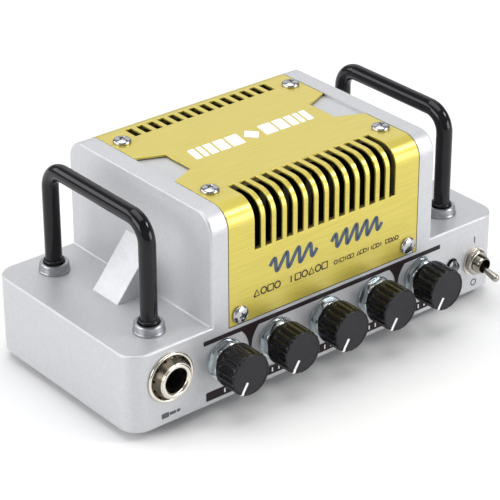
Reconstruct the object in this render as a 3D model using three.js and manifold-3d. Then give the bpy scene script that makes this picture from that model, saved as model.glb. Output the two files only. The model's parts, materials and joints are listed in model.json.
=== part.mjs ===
// Compact guitar amplifier head: a cast aluminium housing with a raised centre tunnel, a wrapped
// vent cover, two carrying handles, five tone and level controls, and its sockets and circuitry.
// Millimetres, +Z up, front panel facing -Y. The origin is at the bottom centre of the whole object.

import * as THREE from "three";
import { mergeVertices } from "three/addons/utils/BufferGeometryUtils.js";
import Module from "manifold-3d";

const wasm = await Module();
wasm.setup();

// ---- driving dimensions ----

const GAP = 0.3;
const FLAT_GAP = 0.1;
const FAR = 200;

// Housing casting
const BASE_WIDTH = 128;
const BASE_DEPTH = 60.6;
const BASE_TOP = 25;
const BASE_BOTTOM = 2.6;
const BASE_CORNER = 5.5;
const TUNNEL_WIDTH = 76.6;
const TUNNEL_TOP = 56.6;
const TUNNEL_BEND = 5.8;
const WALL = 2.2;
const TUNNEL_WALL = 2.4;
const GUSSET_REACH = 11.4;
const GUSSET_RISE = 14;
const GUSSET_WIDTH = 11;

// Vent cover: one folded sheet in a shallow recess, almost flush with the casting round it
const COVER_WIDTH = 65.2;
const COVER_BOTTOM = 23.1;
const SHEET = 0.6;
const SHEET_PROUD = 0.05;
const SLOT_COUNT = 14;
const SLOT_PITCH = 3.555;
const SLOT_WIDTH = 2.1;
const SLOT_TOP_END = 19.3;
const SLOT_LOW_END = 42.7;
const REAR_SLOT_END = 24.2;
const WAIST_X = 24.8;
const WAIST_HALF = 5.3;
const WAIST_MOUTH_HALF = 8.6;
const VENT_MARGIN = 0.7;

// Cover screws
const SCREW_X = 29.2;
const SCREW_Y = 18.6;
const SCREW_Z = 26;
const SCREW_HEAD_RADIUS = 2.5;
const SCREW_HEAD_HEIGHT = 1.3;
const SCREW_SHANK_RADIUS = 1.25;
const SCREW_LENGTH = 5;
const SCREW_CROWN = 0.72;

// Handles and their collars
const HANDLE_X = 51;
const HANDLE_LEG_Y = 20.8;
const HANDLE_RAIL_Z = 55.4;
const HANDLE_BEND = 6;
const ROD_RADIUS = 2.4;
const COLLAR_RADIUS = 4.25;
const COLLAR_HEIGHT = 2.6;
const COLLAR_BEVEL = 0.75;

// Base plate, let into the housing's open underside, and feet
const PLATE_RECESS = 0.1;
const PLATE_THICK = 1.1;
const FOOT_RADIUS = 6;
const FOOT_X = 52;
const FOOT_Y = 21.5;

// Potentiometers and knobs
const KNOB_NAMES = ["gain", "bass", "middle", "treble", "volume"];
const KNOB_PITCH = 17.15;
const KNOB_Z = 14.8;
const KNOB_RADIUS = 6.1;
const KNOB_BACK = 3.85;
const KNOB_FRONT = 11;
const KNOB_DRAFT = 0.15;
const KNOB_BEVEL = 0.5;
const KNOB_CAP = 1.5;
const POT_HALF_WIDTH = 5.5;
const POT_DEPTH = 6.5;
const BUSHING_RADIUS = 3.4;
const BUSHING_FRONT = 3.6;
const SHAFT_RADIUS = 1.7;
const SHAFT_BACK = -7.7;
const SPLINE_RADIUS = 2.9;
const POINTER_WIDTH = 0.8;
const POINTER_DEPTH = 0.2;
const POINTER_START = 2.2;
const POINTER_ANGLE = 32;
const POT_WASHER_RADIUS = 5.8;
const POT_NUT_FLATS = 10;
const POT_NUT_FRONT = 2.9;
const WASHER_FRONT = 0.7;

// Front socket, lamp and switch
const INPUT_X = -51.8;
const INPUT_Z = 16;
const LED_X = 46.7;
const LED_Z = 13.8;
const LED_RADIUS = 1.6;
const LED_FLANGE = 0.35;
const LED_BACK = -5;
const LED_DOME_BASE = 1;
const TOGGLE_X = 55.3;
const TOGGLE_Z = 12.3;
const TOGGLE_TILT = 12.5;
const TOGGLE_HALF_WIDTH = 3.4;
const TOGGLE_DEPTH = 8;
const TOGGLE_ROOF = 6;
const TOGGLE_BUSHING = 2.5;
const TOGGLE_BORE = 2.05;
const TOGGLE_WELL = -2;
const TOGGLE_FRONT = 4.4;
const TOGGLE_WASHER_RADIUS = 4.1;
const TOGGLE_NUT_FLATS = 7;
const TOGGLE_NUT_FRONT = 2.2;
const LEVER_BALL = 1.7;
const LEVER_TIP = 9.9;

// Quarter inch sockets
const JACK_HALF_WIDTH = 6.5;
const JACK_DEPTH = 17;
const JACK_ROOF = 4.9;
const JACK_WELL = 14;
const JACK_BORE = 3.3;
const JACK_BARREL = 4.6;
const JACK_NUT_RADIUS = 7;
const JACK_FLANGE = 0.8;
const JACK_SHOULDER = 0.9;
const JACK_NOSE = 3;

// Small sockets, flush with the rear panel
const RIM_FRONT = 0.5;
const MINI_HALF_WIDTH = 3.5;
const MINI_DEPTH = 11;
const MINI_WELL = 9;
const MINI_BARREL = 3;
const MINI_BORE = 1.85;
const DC_HALF_WIDTH = 4.5;
const DC_DEPTH = 10;
const DC_WELL = 8;
const DC_BORE = 3.2;
const DC_PIN_RADIUS = 1.05;
const DC_PIN_FRONT = -1.5;

// Rear panel, as X from the centre
const REAR_Z = 14.5;
const REAR_JACKS = { speaker_out: -48, fx_return: -27, fx_send: -7 };
const REAR_SMALL_JACKS = { aux_in: 12, phones_out: 26 };
const DC_X = 45;

// Circuit board and what stands on it
const BOARD_TOP = 8.2;
const BOARD_THICK = 1.6;
const PART_FLOOR = BOARD_TOP + GAP;
const BOARD_X = 54;
const BOARD_Y = 24;
const SINK_X = 25;
const SINK_Y = 14;
const SINK_PLATE = 3;
const SINK_FINS = 7;
const SINK_FIN = 2;
const SINK_HEADROOM = 6;
const CHIP_X = 10;
const CHIP_Y = 2.5;
const CAN_RADIUS = 5;
const CAN_HEIGHT = 12.5;
const CAN_X = 30;
const CAN_Y = -2;

const HALF_DEPTH = BASE_DEPTH / 2;
const RECESS = SHEET - SHEET_PROUD + GAP;
const PANEL_BACK = -WALL - GAP;
const JOIN = 1;
const FINE = 20;
const MEDIUM = 16;
const COARSE = 10;

// The knobs reach further out than the rear nuts, so the housing sits behind the origin's Y.
const HOUSING_Y = (KNOB_FRONT - JACK_NOSE) / 2;

// ---- finishes ----

function finish(color, roughness, metalness) {
  return { color, roughness, metalness };
}

const CAST_SILVER = finish(0xcdd0d4, 0.45, 0.7);
const BRUSHED_GOLD = finish(0xe0cf69, 0.35, 0.8);
const STEEL = finish(0xc8ccd0, 0.25, 1);
const NICKEL = finish(0xd6d0c0, 0.2, 1);
const BLACK_GLOSS = finish(0x0b0b0d, 0.25, 0.2);
const BLACK_PLASTIC = finish(0x24242a, 0.5, 0);
const RUBBER = finish(0x1a1a1a, 0.85, 0);
const LAMP = finish(0xe8eef2, 0.1, 0);
const BOARD_GREEN = finish(0x1f5a34, 0.5, 0);
const SINK_METAL = finish(0x9a9da1, 0.4, 0.9);

// ---- solids ----

function signedVolume(positions, corners) {
  const a = new THREE.Vector3();
  const b = new THREE.Vector3();
  const c = new THREE.Vector3();
  let sum = 0;
  for (let i = 0; i < corners.length; i += 3) {
    a.fromArray(positions, 3 * corners[i]);
    b.fromArray(positions, 3 * corners[i + 1]);
    c.fromArray(positions, 3 * corners[i + 2]);
    sum += a.dot(b.cross(c));
  }
  return sum / 6;
}

// A closed geometry as a boolean solid: vertices shared, slivers on the axis dropped, faces out
function toSolid(geometry) {
  const bare = geometry.clone();
  bare.deleteAttribute("normal");
  bare.deleteAttribute("uv");
  const merged = mergeVertices(bare, 1e-4);
  const positions = merged.attributes.position.array;
  const index = merged.index.array;
  const corners = [];
  for (let i = 0; i < index.length; i += 3) {
    const [a, b, c] = index.slice(i, i + 3);
    if (a !== b && b !== c && c !== a) {
      corners.push(a, b, c);
    }
  }
  if (signedVolume(positions, corners) < 0) {
    corners.reverse();
  }
  return new wasm.Manifold(new wasm.Mesh({
    numProp: 3,
    vertProperties: positions,
    triVerts: Uint32Array.from(corners),
  }));
}

function toGeometry(solid) {
  const mesh = solid.getMesh();
  const geometry = new THREE.BufferGeometry();
  geometry.setAttribute("position", new THREE.BufferAttribute(mesh.vertProperties, 3));
  geometry.setIndex(new THREE.BufferAttribute(mesh.triVerts, 1));
  geometry.computeVertexNormals();
  return geometry;
}

function box(x, y, z) {
  const geometry = new THREE.BoxGeometry(x[1] - x[0], y[1] - y[0], z[1] - z[0]);
  geometry.translate((x[0] + x[1]) / 2, (y[0] + y[1]) / 2, (z[0] + z[1]) / 2);
  return toSolid(geometry);
}

// Turned about Y from [radius, y] points
function turned(points, segments = FINE) {
  return toSolid(new THREE.LatheGeometry(points.map((p) => new THREE.Vector2(...p)), segments));
}

function cylinder(radius, low, high, segments = FINE) {
  return turned([[0, low], [radius, low], [radius, high], [0, high]], segments);
}

// The same about Z
function upright(points, segments = FINE) {
  const geometry = new THREE.LatheGeometry(points.map((p) => new THREE.Vector2(...p)), segments);
  return toSolid(geometry.rotateX(Math.PI / 2));
}

function uprightCylinder(radius, low, high, segments = FINE) {
  return upright([[0, low], [radius, low], [radius, high], [0, high]], segments);
}

function shapeOf(points) {
  return new THREE.Shape(points.map((p) => new THREE.Vector2(...p)));
}

function extruded(shape, low, high) {
  const options = { depth: high - low, bevelEnabled: false, curveSegments: 2 };
  return new THREE.ExtrudeGeometry(shape, options).translate(0, 0, low);
}

// A shape drawn as (Y, Z), extruded along X
function extrudedAcross(shape, halfWidth) {
  const axes = new THREE.Matrix4().makeBasis(
    new THREE.Vector3(0, 1, 0),
    new THREE.Vector3(0, 0, 1),
    new THREE.Vector3(1, 0, 0),
  );
  return toSolid(extruded(shape, -halfWidth, halfWidth).applyMatrix4(axes));
}

function roundedSlab(width, depth, radius, low, high) {
  const x = width / 2 - radius;
  const y = depth / 2 - radius;
  const shape = new THREE.Shape();
  shape.moveTo(x + radius, -y);
  shape.absarc(x, y, radius, 0, Math.PI / 2);
  shape.absarc(-x, y, radius, Math.PI / 2, Math.PI);
  shape.absarc(-x, -y, radius, Math.PI, 1.5 * Math.PI);
  shape.absarc(x, -y, radius, 1.5 * Math.PI, 2 * Math.PI);
  return toSolid(extruded(shape, low, high));
}

// The tunnel's outline, moved outward by offset, from low up to its crown
function tunnelBlock(offset, halfWidth, low) {
  const y = HALF_DEPTH + offset;
  const top = TUNNEL_TOP + offset;
  const bend = TUNNEL_BEND + offset;
  const shape = new THREE.Shape();
  shape.moveTo(y, low);
  shape.lineTo(y, top - bend);
  shape.absarc(y - bend, top - bend, bend, 0, Math.PI / 2);
  shape.absarc(bend - y, top - bend, bend, Math.PI / 2, Math.PI);
  shape.lineTo(-y, low);
  return extrudedAcross(shape, halfWidth);
}

function hexagon(acrossFlats, low, high) {
  const corner = acrossFlats / Math.sqrt(3);
  return cylinder(corner, low, high, 6);
}

function cutAll(solid, tools) {
  return tools.reduce((left, tool) => left.subtract(tool), solid);
}

// ---- scene helpers ----

function piece(name, solid, look, parent) {
  const mesh = new THREE.Mesh(toGeometry(solid), new THREE.MeshStandardMaterial(look));
  mesh.name = name;
  parent.add(mesh);
  return mesh;
}

// A group on the front (side -1) or rear (side 1) panel whose own +Y points away from the panel
function onPanel(x, z, side, parent) {
  const group = new THREE.Group();
  group.position.set(x, side * HALF_DEPTH, z);
  group.rotation.z = side < 0 ? Math.PI : 0;
  parent.add(group);
  return group;
}

const knobXs = KNOB_NAMES.map((_, i) => (i - (KNOB_NAMES.length - 1) / 2) * KNOB_PITCH);

// ---- housing ----

function screwPlaces() {
  const places = [];
  for (const side of [-1, 1]) {
    for (const x of [-SCREW_X, SCREW_X]) {
      places.push({ x, y: side * SCREW_Y, top: true });
      places.push({ x, side, top: false });
    }
  }
  return places;
}

function screwHoles(radius) {
  return screwPlaces().map((place) => {
    if (place.top) {
      const hole = uprightCylinder(radius, TUNNEL_TOP - 2 * SCREW_LENGTH, FAR, COARSE);
      return hole.translate([place.x, place.y, 0]);
    }
    const hole = cylinder(radius, -2 * SCREW_LENGTH, 2 * SCREW_LENGTH, COARSE);
    return hole.translate([place.x, place.side * HALF_DEPTH, SCREW_Z]);
  });
}

function panelHoles() {
  const bores = [];
  const bore = (x, z, side, radius) => {
    bores.push(cylinder(radius, -2 * WALL, 2 * WALL, MEDIUM).translate([x, side * HALF_DEPTH, z]));
  };
  knobXs.forEach((x) => bore(x, KNOB_Z, -1, BUSHING_RADIUS + GAP));
  bore(INPUT_X, INPUT_Z, -1, JACK_BARREL + GAP);
  bore(LED_X, LED_Z, -1, LED_RADIUS + GAP);
  bore(TOGGLE_X, TOGGLE_Z, -1, TOGGLE_BUSHING + GAP);
  Object.values(REAR_JACKS).forEach((x) => bore(x, REAR_Z, 1, JACK_BARREL + GAP));
  Object.values(REAR_SMALL_JACKS).forEach((x) => bore(x, REAR_Z, 1, MINI_BARREL + GAP));
  bore(DC_X, REAR_Z, 1, DC_HALF_WIDTH + GAP);
  return bores;
}

function gusset(side) {
  const foot = TUNNEL_WIDTH / 2 - WALL / 2;
  const outline = shapeOf([
    [foot, BASE_TOP - WALL / 2],
    [TUNNEL_WIDTH / 2 + GUSSET_REACH, BASE_TOP - WALL / 2],
    [TUNNEL_WIDTH / 2 + GUSSET_REACH, BASE_TOP],
    [TUNNEL_WIDTH / 2, BASE_TOP + GUSSET_RISE],
    [foot, BASE_TOP + GUSSET_RISE],
  ]);
  const wedge = toSolid(extruded(outline, -GUSSET_WIDTH / 2, GUSSET_WIDTH / 2).rotateX(Math.PI / 2));
  return side > 0 ? wedge : wedge.mirror([1, 0, 0]);
}

function chassisShell() {
  const halfTunnel = TUNNEL_WIDTH / 2;
  const floor = BASE_BOTTOM - WALL;
  const body = roundedSlab(BASE_WIDTH, BASE_DEPTH, BASE_CORNER, BASE_BOTTOM, BASE_TOP)
    .add(tunnelBlock(0, halfTunnel, BASE_TOP - WALL))
    .add(gusset(-1))
    .add(gusset(1));
  const baseHollow = roundedSlab(
    BASE_WIDTH - 2 * WALL,
    BASE_DEPTH - 2 * WALL,
    BASE_CORNER - WALL,
    floor,
    BASE_TOP - WALL,
  );
  const tunnelHollow = tunnelBlock(-TUNNEL_WALL, halfTunnel - WALL, floor);
  const recess = tunnelBlock(WALL, COVER_WIDTH / 2 + GAP, COVER_BOTTOM - GAP)
    .subtract(tunnelBlock(-RECESS, halfTunnel, 0));
  const ventX = ((SLOT_COUNT - 1) * SLOT_PITCH + SLOT_WIDTH) / 2 + VENT_MARGIN;
  const ventZ = [SLOT_LOW_END - VENT_MARGIN, FAR];
  const ventY = SLOT_TOP_END - VENT_MARGIN;
  const frontVent = box([-ventX, ventX], [-FAR, -ventY], ventZ);
  const rearVent = box([-ventX, ventX], [ventY, REAR_SLOT_END + VENT_MARGIN], ventZ);
  const legHoles = [];
  for (const x of [-HANDLE_X, HANDLE_X]) {
    for (const y of [-HANDLE_LEG_Y, HANDLE_LEG_Y]) {
      const hole = uprightCylinder(ROD_RADIUS + GAP, BASE_TOP - 2 * WALL, BASE_TOP + WALL, COARSE);
      legHoles.push(hole.translate([x, y, 0]));
    }
  }
  return cutAll(body, [
    baseHollow,
    tunnelHollow,
    recess,
    frontVent,
    rearVent,
    ...legHoles,
    ...panelHoles(),
    ...screwHoles(SCREW_SHANK_RADIUS + GAP),
  ]);
}

// Long slots wrap over the front bend, and short ones lie in the top before the rear bend
function slotTools() {
  const slots = [];
  for (let i = 0; i < SLOT_COUNT; i += 1) {
    const x = (i - (SLOT_COUNT - 1) / 2) * SLOT_PITCH;
    const across = [x - SLOT_WIDTH / 2, x + SLOT_WIDTH / 2];
    slots.push(box(across, [-FAR, -SLOT_TOP_END], [SLOT_LOW_END, FAR]));
    slots.push(box(across, [SLOT_TOP_END, REAR_SLOT_END], [SLOT_LOW_END, FAR]));
  }
  return slots;
}

// Tapered notch in one side of the cover's top, leaving a narrow waist between two wide ends
function waistNotch() {
  const run = COVER_WIDTH / 2 - WAIST_X;
  const slope = (WAIST_MOUTH_HALF - WAIST_HALF) / run;
  const reach = run + JOIN;
  const outline = shapeOf([
    [WAIST_X, -WAIST_HALF],
    [WAIST_X + reach, -WAIST_HALF - slope * reach],
    [WAIST_X + reach, WAIST_HALF + slope * reach],
    [WAIST_X, WAIST_HALF],
  ]);
  return toSolid(extruded(outline, BASE_TOP, FAR));
}

function ventCover() {
  const sheet = tunnelBlock(SHEET_PROUD, COVER_WIDTH / 2, COVER_BOTTOM)
    .subtract(tunnelBlock(SHEET_PROUD - SHEET, COVER_WIDTH, 0));
  const notch = waistNotch();
  return cutAll(sheet, [
    ...slotTools(),
    notch,
    notch.mirror([1, 0, 0]),
    ...screwHoles(SCREW_SHANK_RADIUS + GAP),
  ]);
}

// Pan head screw pointing along +Y, its seat at y = 0
function coverScrew() {
  return turned([
    [0, -SCREW_LENGTH],
    [SCREW_SHANK_RADIUS, -SCREW_LENGTH],
    [SCREW_SHANK_RADIUS, 0],
    [SCREW_HEAD_RADIUS, 0],
    [SCREW_HEAD_RADIUS, SCREW_HEAD_HEIGHT / 2],
    [SCREW_HEAD_RADIUS * SCREW_CROWN, SCREW_HEAD_HEIGHT],
    [0, SCREW_HEAD_HEIGHT],
  ], COARSE);
}

function addScrews(parent) {
  const seat = SHEET_PROUD + FLAT_GAP;
  const leftRight = (x) => (x < 0 ? "left" : "right");
  const frontRear = (value) => (value < 0 ? "front" : "rear");
  for (const place of screwPlaces()) {
    const screw = coverScrew();
    if (place.top) {
      const name = `cover_screw_top_${frontRear(place.y)}_${leftRight(place.x)}`;
      const mesh = piece(name, screw, STEEL, parent);
      mesh.position.set(place.x, place.y, TUNNEL_TOP + seat);
      mesh.rotation.x = Math.PI / 2;
    } else {
      const spot = onPanel(place.x, SCREW_Z, place.side, parent);
      const name = `cover_screw_${frontRear(place.side)}_${leftRight(place.x)}`;
      piece(name, screw, STEEL, spot).position.y = seat;
    }
  }
}

// ---- handles ----

// Leg, bend, rail, bend and leg of a handle in the YZ plane; each of the five takes an equal share
// of the steps, so the straight lengths need no points of their own
class HandlePath extends THREE.Curve {
  constructor(bottom) {
    super();
    const y = HANDLE_LEG_Y;
    const z = HANDLE_RAIL_Z;
    const r = HANDLE_BEND;
    this.parts = [
      (t) => [-y, bottom + (z - r - bottom) * t],
      (t) => [-y + r - r * Math.cos(t * Math.PI / 2), z - r + r * Math.sin(t * Math.PI / 2)],
      (t) => [-y + r + 2 * (y - r) * t, z],
      (t) => [y - r + r * Math.sin(t * Math.PI / 2), z - r + r * Math.cos(t * Math.PI / 2)],
      (t) => [y, z - r - (z - r - bottom) * t],
    ];
  }

  getUtoTmapping(u) {
    return u;
  }

  getPoint(t) {
    const at = Math.min(t * this.parts.length, this.parts.length - 1e-9);
    const part = Math.floor(at);
    return new THREE.Vector3(0, ...this.parts[part](at - part));
  }
}

function handleRod() {
  const section = new THREE.Shape().absarc(0, 0, ROD_RADIUS, 0, 2 * Math.PI);
  const path = new HandlePath(BASE_TOP - WALL);
  const options = { steps: 20, curveSegments: 5, extrudePath: path, bevelEnabled: false };
  return toSolid(new THREE.ExtrudeGeometry(section, options));
}

function collar() {
  const inner = ROD_RADIUS + GAP;
  const high = FLAT_GAP + COLLAR_HEIGHT;
  return upright([
    [inner, FLAT_GAP],
    [COLLAR_RADIUS, FLAT_GAP],
    [COLLAR_RADIUS, high - COLLAR_BEVEL],
    [COLLAR_RADIUS - COLLAR_BEVEL, high],
    [inner, high],
    [inner, FLAT_GAP],
  ], MEDIUM);
}

function addHandles(parent) {
  for (const [side, label] of [[-1, "left"], [1, "right"]]) {
    const group = new THREE.Group();
    group.position.x = side * HANDLE_X;
    parent.add(group);
    piece(`handle_${label}`, handleRod(), BLACK_GLOSS, group);
    for (const [y, end] of [[-HANDLE_LEG_Y, "front"], [HANDLE_LEG_Y, "rear"]]) {
      piece(`collar_${label}_${end}`, collar(), STEEL, group).position.set(0, y, BASE_TOP);
    }
  }
}

// ---- underside ----

function addUnderside(parent) {
  const rim = WALL + GAP;
  const plateBottom = BASE_BOTTOM + PLATE_RECESS;
  const plate = roundedSlab(
    BASE_WIDTH - 2 * rim,
    BASE_DEPTH - 2 * rim,
    BASE_CORNER - rim,
    plateBottom,
    plateBottom + PLATE_THICK,
  );
  piece("base_plate", plate, STEEL, parent);
  for (const [x, side] of [[-FOOT_X, "left"], [FOOT_X, "right"]]) {
    for (const [y, end] of [[-FOOT_Y, "front"], [FOOT_Y, "rear"]]) {
      const foot = uprightCylinder(FOOT_RADIUS, 0, plateBottom - FLAT_GAP);
      piece(`foot_${end}_${side}`, foot, RUBBER, parent).position.set(x, y, 0);
    }
  }
}

// ---- controls ----

// A square-sided body behind the panel, from floor to roof, with a barrel out through the panel
function bodyWithBarrel(halfWidth, depth, floor, roof, barrelRadius, barrelFront) {
  const block = box([-halfWidth, halfWidth], [PANEL_BACK - depth, PANEL_BACK], [floor, roof]);
  return block.add(cylinder(barrelRadius, PANEL_BACK - JOIN, barrelFront, MEDIUM));
}

// Washer and hexagon nut in one, threaded on a bushing
function washerAndNut(washerRadius, acrossFlats, nutFront, bushingRadius) {
  const washer = cylinder(washerRadius, FLAT_GAP, WASHER_FRONT, MEDIUM);
  const nut = hexagon(acrossFlats, WASHER_FRONT - FLAT_GAP, nutFront);
  return washer.add(nut).subtract(cylinder(bushingRadius + GAP, -JOIN, FAR, MEDIUM));
}

function potBody() {
  const floor = PART_FLOOR - KNOB_Z;
  return bodyWithBarrel(POT_HALF_WIDTH, POT_DEPTH, floor, POT_HALF_WIDTH, BUSHING_RADIUS, BUSHING_FRONT)
    .subtract(cylinder(SHAFT_RADIUS + GAP, SHAFT_BACK - GAP, FAR, COARSE));
}

function potShaft() {
  const front = KNOB_FRONT - KNOB_CAP - GAP;
  return turned([
    [0, SHAFT_BACK],
    [SHAFT_RADIUS, SHAFT_BACK],
    [SHAFT_RADIUS, KNOB_BACK + JOIN],
    [SPLINE_RADIUS, KNOB_BACK + JOIN],
    [SPLINE_RADIUS, front],
    [0, front],
  ], COARSE);
}

// The pointer is a shallow groove across the knob's face, at seven o'clock on the front view.
// Inside the panel group X runs the other way, so the groove turns towards +X here.
function knob() {
  const back = KNOB_BACK;
  const front = KNOB_FRONT;
  const rim = KNOB_RADIUS - KNOB_DRAFT;
  const body = turned([
    [0, back],
    [KNOB_RADIUS, back],
    [rim, front - KNOB_BEVEL],
    [rim - KNOB_BEVEL, front],
    [0, front],
  ]);
  const socket = cylinder(SPLINE_RADIUS + GAP, back - JOIN, front - KNOB_CAP, COARSE);
  const skirt = cylinder(BUSHING_RADIUS + 2 * GAP, back - JOIN, back + JOIN, MEDIUM);
  const groove = box(
    [-POINTER_WIDTH / 2, POINTER_WIDTH / 2],
    [front - POINTER_DEPTH, front + JOIN],
    [-FAR, -POINTER_START],
  );
  return cutAll(body, [socket, skirt, groove.rotate([0, -POINTER_ANGLE, 0])]);
}

function addControls(parent) {
  KNOB_NAMES.forEach((name, i) => {
    const spot = onPanel(knobXs[i], KNOB_Z, -1, parent);
    const nut = washerAndNut(POT_WASHER_RADIUS, POT_NUT_FLATS, POT_NUT_FRONT, BUSHING_RADIUS);
    piece(`pot_body_${name}`, potBody(), SINK_METAL, spot);
    piece(`pot_shaft_${name}`, potShaft(), STEEL, spot);
    piece(`pot_nut_${name}`, nut, STEEL, spot);
    piece(`knob_${name}`, knob(), BLACK_PLASTIC, spot);
  });
}

// ---- sockets ----

function jackBody(floor) {
  return bodyWithBarrel(JACK_HALF_WIDTH, JACK_DEPTH, floor, JACK_ROOF, JACK_BARREL, JACK_NOSE)
    .subtract(cylinder(JACK_BORE, PANEL_BACK - JACK_WELL, FAR, MEDIUM));
}

// Round nut, flared from a thin flange up to the socket's nose
function jackNut() {
  const inner = JACK_BARREL + GAP;
  const front = JACK_NOSE - GAP;
  const flange = FLAT_GAP + JACK_FLANGE;
  return turned([
    [inner, FLAT_GAP],
    [JACK_NUT_RADIUS, FLAT_GAP],
    [JACK_NUT_RADIUS, flange],
    [JACK_NUT_RADIUS - JACK_SHOULDER, flange + JACK_SHOULDER / 2],
    [inner + GAP, front],
    [inner, front],
    [inner, FLAT_GAP],
  ], MEDIUM);
}

function addJack(name, x, z, side, parent) {
  const spot = onPanel(x, z, side, parent);
  piece(`${name}_body`, jackBody(PART_FLOOR - z), BLACK_PLASTIC, spot);
  piece(`${name}_nut`, jackNut(), NICKEL, spot);
}

function smallJack() {
  const floor = PART_FLOOR - REAR_Z;
  return bodyWithBarrel(MINI_HALF_WIDTH, MINI_DEPTH, floor, MINI_HALF_WIDTH, MINI_BARREL, RIM_FRONT)
    .subtract(cylinder(MINI_BORE, PANEL_BACK - MINI_WELL, FAR, MEDIUM));
}

function dcInlet() {
  const floor = PART_FLOOR - REAR_Z;
  return bodyWithBarrel(DC_HALF_WIDTH, DC_DEPTH, floor, DC_HALF_WIDTH, DC_HALF_WIDTH, RIM_FRONT)
    .subtract(cylinder(DC_BORE, PANEL_BACK - DC_WELL, FAR, MEDIUM))
    .add(cylinder(DC_PIN_RADIUS, PANEL_BACK - DC_WELL - JOIN, DC_PIN_FRONT, COARSE));
}

function addSockets(parent) {
  addJack("input_jack", INPUT_X, INPUT_Z, -1, parent);
  for (const [name, x] of Object.entries(REAR_JACKS)) {
    addJack(name, x, REAR_Z, 1, parent);
  }
  for (const [name, x] of Object.entries(REAR_SMALL_JACKS)) {
    piece(`${name}_jack`, smallJack(), BLACK_PLASTIC, onPanel(x, REAR_Z, 1, parent));
  }
  piece("dc_inlet", dcInlet(), BLACK_PLASTIC, onPanel(DC_X, REAR_Z, 1, parent));
}

// ---- lamp and power switch ----

// Round lens with a domed nose, held by a flange behind the panel
function lamp() {
  const r = LED_RADIUS;
  const flange = r + LED_FLANGE;
  const flangeFront = PANEL_BACK - FLAT_GAP;
  const points = [[0, LED_BACK], [flange, LED_BACK], [flange, flangeFront], [r, flangeFront]];
  for (const angle of [0, 30, 60]) {
    const turn = THREE.MathUtils.degToRad(angle);
    points.push([r * Math.cos(turn), LED_DOME_BASE + r * Math.sin(turn)]);
  }
  points.push([0, LED_DOME_BASE + r]);
  return turned(points, MEDIUM);
}

function toggleBody() {
  const floor = PART_FLOOR - TOGGLE_Z;
  return bodyWithBarrel(
    TOGGLE_HALF_WIDTH,
    TOGGLE_DEPTH,
    floor,
    TOGGLE_ROOF,
    TOGGLE_BUSHING,
    TOGGLE_FRONT,
  ).subtract(cylinder(TOGGLE_BORE, TOGGLE_WELL, FAR, MEDIUM));
}

// Ball pivot at y = 0, a slim stem, and a slightly thicker rounded tip
function toggleLever() {
  const ball = LEVER_BALL;
  const neck = [0.75, ball];
  const stemEnd = [0.9, 0.6 * LEVER_TIP];
  const swell = [1.2, 0.91 * LEVER_TIP];
  const tipEdge = [0.85, 0.98 * LEVER_TIP];
  return turned([
    [0, -ball],
    [0.7 * ball, -0.7 * ball],
    [ball, 0],
    [0.7 * ball, 0.7 * ball],
    neck,
    stemEnd,
    swell,
    tipEdge,
    [0, LEVER_TIP],
  ], COARSE);
}

function addSwitchAndLamp(parent) {
  piece("power_led", lamp(), LAMP, onPanel(LED_X, LED_Z, -1, parent));
  const spot = onPanel(TOGGLE_X, TOGGLE_Z, -1, parent);
  const nut = washerAndNut(TOGGLE_WASHER_RADIUS, TOGGLE_NUT_FLATS, TOGGLE_NUT_FRONT, TOGGLE_BUSHING);
  piece("toggle_body", toggleBody(), BLACK_PLASTIC, spot);
  piece("toggle_nut", nut, NICKEL, spot);
  const lever = piece("toggle_lever", toggleLever(), NICKEL, spot);
  lever.rotation.x = THREE.MathUtils.degToRad(-TOGGLE_TILT);
}

// ---- circuitry ----

function heatSink() {
  const low = BASE_TOP + JOIN;
  const high = TUNNEL_TOP - TUNNEL_WALL - SINK_HEADROOM;
  const pitch = (2 * SINK_X - SINK_FIN) / (SINK_FINS - 1);
  let sink = box([-SINK_X, SINK_X], [-SINK_Y, SINK_Y], [low, low + SINK_PLATE]);
  for (let i = 0; i < SINK_FINS; i += 1) {
    const x = -SINK_X + i * pitch;
    sink = sink.add(box([x, x + SINK_FIN], [-SINK_Y, SINK_Y], [low + SINK_PLATE / 2, high]));
  }
  return sink;
}

function addCircuit(parent) {
  const board = box([-BOARD_X, BOARD_X], [-BOARD_Y, BOARD_Y], [BOARD_TOP - BOARD_THICK, BOARD_TOP]);
  const chip = box([-CHIP_X, CHIP_X], [-CHIP_Y, CHIP_Y], [PART_FLOOR, BASE_TOP + JOIN - GAP]);
  const can = uprightCylinder(CAN_RADIUS, PART_FLOOR, PART_FLOOR + CAN_HEIGHT);
  piece("main_board", board, BOARD_GREEN, parent);
  piece("heatsink", heatSink(), SINK_METAL, parent);
  piece("power_ic", chip, BLACK_PLASTIC, parent);
  piece("filter_capacitor", can, BLACK_PLASTIC, parent).position.set(CAN_X, CAN_Y, 0);
}

// ---- assembly ----

const amp = new THREE.Group();
const housing = new THREE.Group();
housing.position.y = HOUSING_Y;
amp.add(housing);

piece("chassis_shell", chassisShell(), CAST_SILVER, housing);
piece("vent_cover", ventCover(), BRUSHED_GOLD, housing);
addScrews(housing);
addHandles(housing);
addUnderside(housing);
addControls(housing);
addSockets(housing);
addSwitchAndLamp(housing);
addCircuit(housing);

export default amp;
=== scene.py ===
"""A compact guitar amplifier head on a pale studio floor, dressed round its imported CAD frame."""

import json
import math

import bmesh
import bpy
from mathutils import Matrix, Vector

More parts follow.
